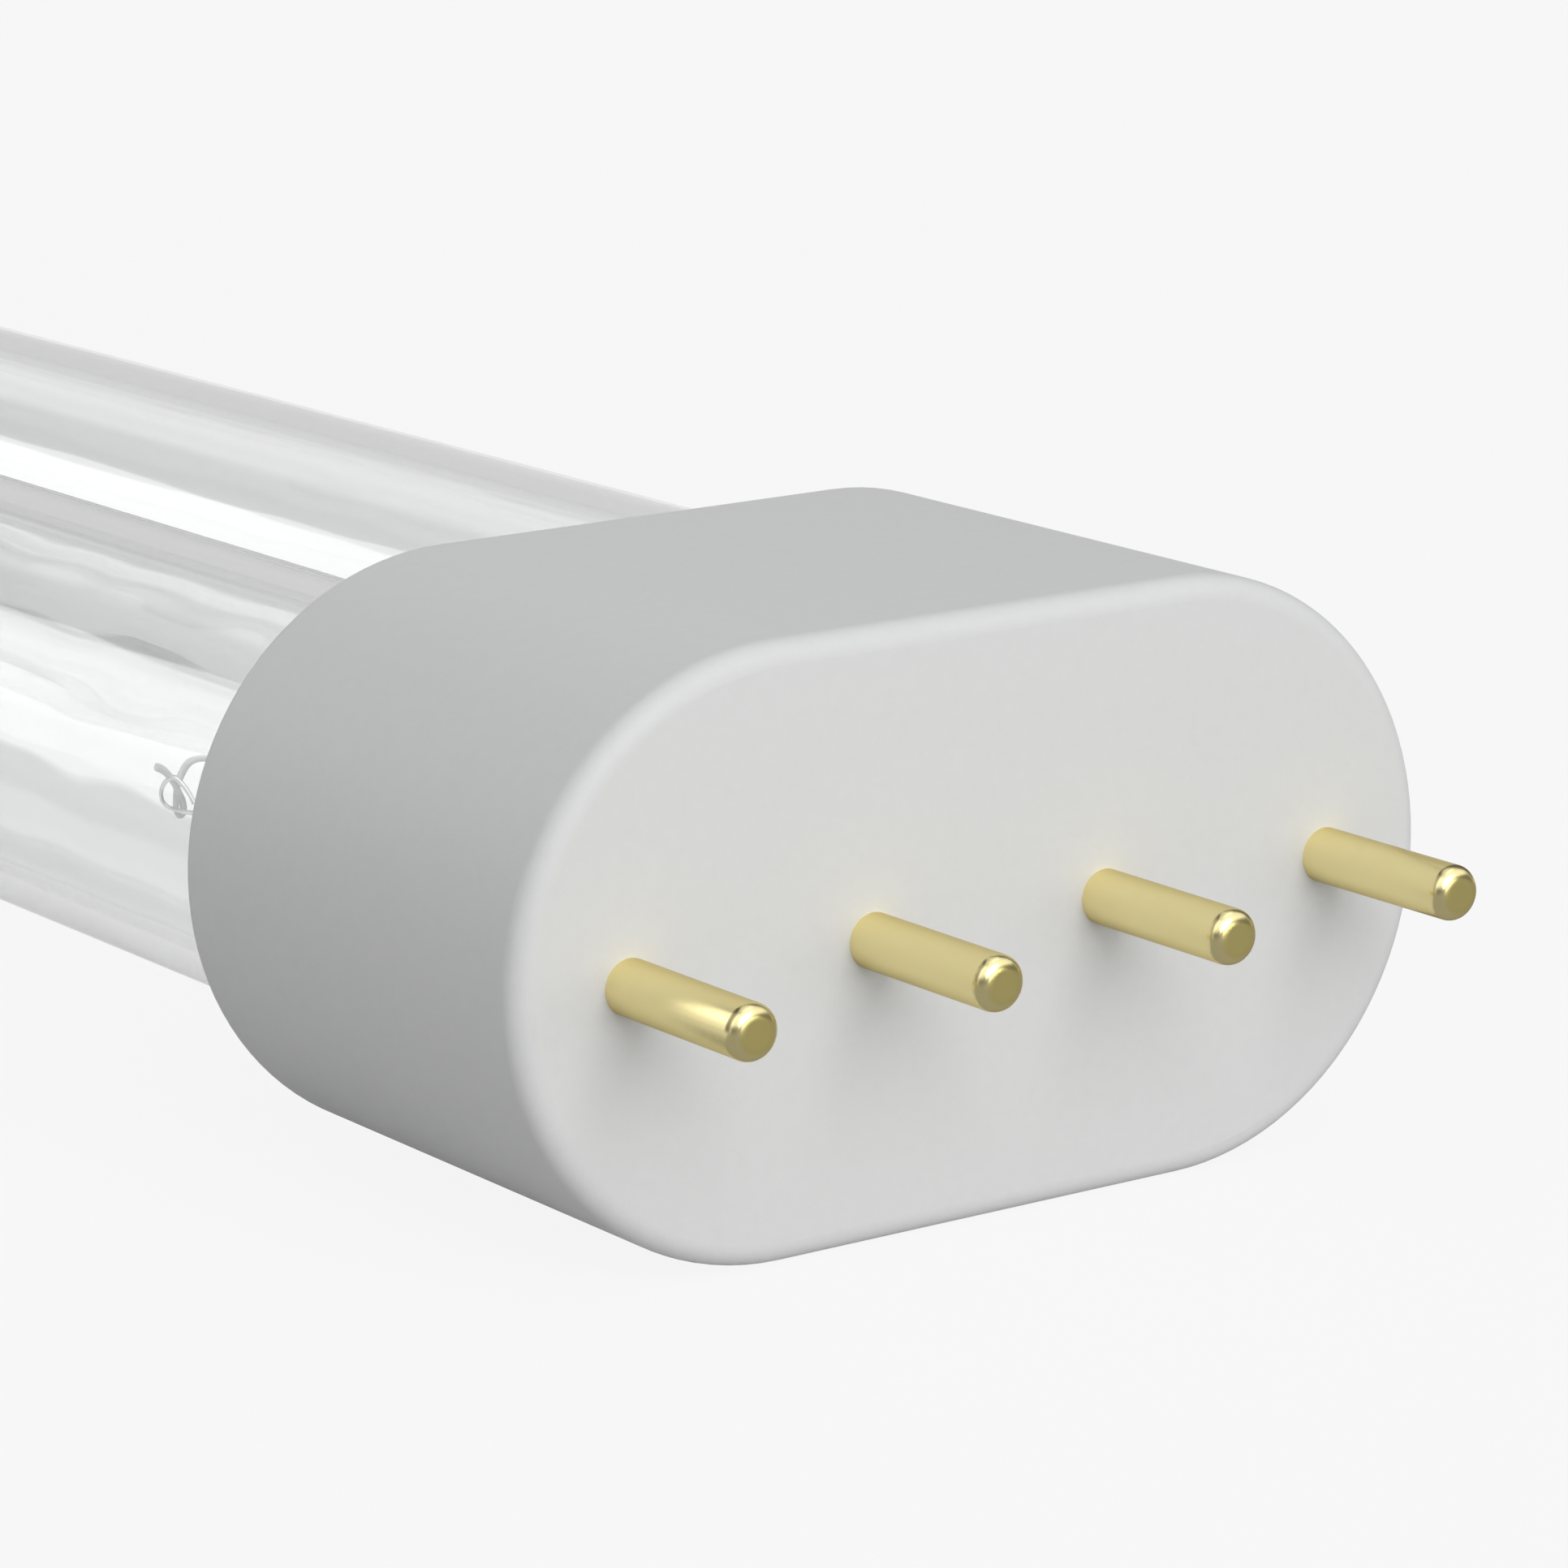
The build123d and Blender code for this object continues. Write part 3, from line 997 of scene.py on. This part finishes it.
def build_camera(settings):
    """The camera at the photograph's view."""
    data = bpy.data.cameras.new("camera")
    camera = bpy.data.objects.new("camera", data)
    bpy.context.scene.collection.objects.link(camera)
    level_right = Vector((cos(settings.turn), -sin(settings.turn), 0))
    forward = Vector((
        sin(settings.turn) * cos(settings.tilt),
        cos(settings.turn) * cos(settings.tilt),
        -sin(settings.tilt),
    ))
    level_up = level_right.cross(forward)
    right = level_right * cos(settings.roll) + level_up * sin(settings.roll)
    up = right.cross(forward)
    turn = Matrix((right, up, -forward)).transposed().to_4x4()
    camera.matrix_world = Matrix.Translation(settings.position) @ turn
    data.sensor_width = SENSOR_WIDTH
    data.lens = settings.lens
    data.clip_start, data.clip_end = CAMERA_REACH
    bpy.context.scene.camera = camera
    return camera


# Operators

class LAMP_OT_glass_vessel(bpy.types.Operator):
    """Model the hollow glass legs and their bridge"""

    bl_idname = "lamp_tube.glass_vessel"
    bl_label = "Glass vessel"

    def execute(self, context):
        vessel = build_glass_vessel(context.scene.lamp_vessel)
        streaks = context.scene.lamp_finish.streak_strength
        glass = clear_glass("drawn_glass", streaks, ripple=0.6)
        finish_piece(vessel, glass, ["discharge_vessel"])
        return {"FINISHED"}


class LAMP_OT_electrodes(bpy.types.Operator):
    """Model the lead wires and electrode coils of both legs"""

    bl_idname = "lamp_tube.electrodes"
    bl_label = "Electrodes"

    def execute(self, context):
        settings = context.scene.lamp_electrode
        finish = context.scene.lamp_finish
        nickel = drawn_metal(
            "nickel_wire", finish.nickel_colour, roughness=0.36, grain_length=1.5, metallic=0.8
        )
        tungsten = drawn_metal(
            "tungsten_wire", finish.tungsten_colour,
            roughness=0.55, grain_length=0.05, metallic=0.05,
        )
        for number in range(1, LEAD_WIRES + 1):
            wire = build_lead_wire(number, settings)
            finish_piece(wire, nickel, [f"lead_wire_{number}"])
        for side in LEG_SIDES:
            coil = build_coil(side, settings)
            finish_piece(coil, tungsten, [f"electrode_coil_{side}"])
        return {"FINISHED"}


class LAMP_OT_finishes(bpy.types.Operator):
    """Give the base, pins, stems, cement and mercury their finishes"""

    bl_idname = "lamp_tube.finishes"
    bl_label = "Finishes"

    def execute(self, context):
        finish = context.scene.lamp_finish
        glass = clear_glass("pressed_glass", streaks=0.3, ripple=0.5)
        finishes = {
            "base_housing": moulded_plastic(finish.plastic_colour),
            "capping_cement": cast_cement(finish.cement_colour),
            "mercury_bead": liquid_mercury(),
            "contact_pin": turned_brass(finish.brass_colour),
            "glass_stem": glass,
            "exhaust_tube": glass,
        }
        for node, cad_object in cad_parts.items():
            for start, material in finishes.items():
                if node.startswith(start):
                    give_material(cad_object, material)
        return {"FINISHED"}


class LAMP_OT_stage(bpy.types.Operator):
    """Build the pale floor, the studio lamps and the camera"""

    bl_idname = "lamp_tube.stage"
    bl_label = "Stage"

    def execute(self, context):
        stage = context.scene.lamp_stage
        build_floor(stage)
        build_world(stage)
        powers = (stage.key_power, stage.front_power, stage.top_power)
        for lamp, power in zip(AREA_LAMPS, powers):
            add_area_lamp(*lamp, power)
        build_camera(context.scene.lamp_camera)
        context.scene.view_settings.view_transform = "Standard"
        return {"FINISHED"}


class LAMP_PT_panel(bpy.types.Panel):
    """The lamp's pieces and their sizes, in the sidebar"""

    bl_idname = "LAMP_PT_panel"
    bl_label = "Germicidal Lamp Tube"
    bl_space_type = "VIEW_3D"
    bl_region_type = "UI"
    bl_category = "Lamp Tube"

    def draw(self, context):
        groups = (
            ("lamp_tube.glass_vessel", context.scene.lamp_vessel),
            ("lamp_tube.electrodes", context.scene.lamp_electrode),
            ("lamp_tube.finishes", context.scene.lamp_finish),
            ("lamp_tube.stage", context.scene.lamp_stage),
        )
        for operator, settings in groups:
            box = self.layout.box()
            box.operator(operator)
            for name in settings.__annotations__:
                box.prop(settings, name)
        box = self.layout.box()
        for name in context.scene.lamp_camera.__annotations__:
            box.prop(context.scene.lamp_camera, name)


SETTINGS = {
    "lamp_vessel": LampVesselSettings,
    "lamp_electrode": LampElectrodeSettings,
    "lamp_finish": LampFinishSettings,
    "lamp_stage": LampStageSettings,
    "lamp_camera": LampCameraSettings,
}
OPERATORS = (LAMP_OT_glass_vessel, LAMP_OT_electrodes, LAMP_OT_finishes, LAMP_OT_stage)


def register():
    for name, group in SETTINGS.items():
        bpy.utils.register_class(group)
        setattr(bpy.types.Scene, name, PointerProperty(type=group))
    for operator in OPERATORS:
        bpy.utils.register_class(operator)
    bpy.utils.register_class(LAMP_PT_panel)


def unregister():
    bpy.utils.unregister_class(LAMP_PT_panel)
    for operator in reversed(OPERATORS):
        bpy.utils.unregister_class(operator)
    for name, group in reversed(SETTINGS.items()):
        delattr(bpy.types.Scene, name)
        bpy.utils.unregister_class(group)


def main():
    register()
    bpy.ops.lamp_tube.glass_vessel()
    bpy.ops.lamp_tube.electrodes()
    bpy.ops.lamp_tube.finishes()
    bpy.ops.lamp_tube.stage()


if __name__ == "__main__":
    main()
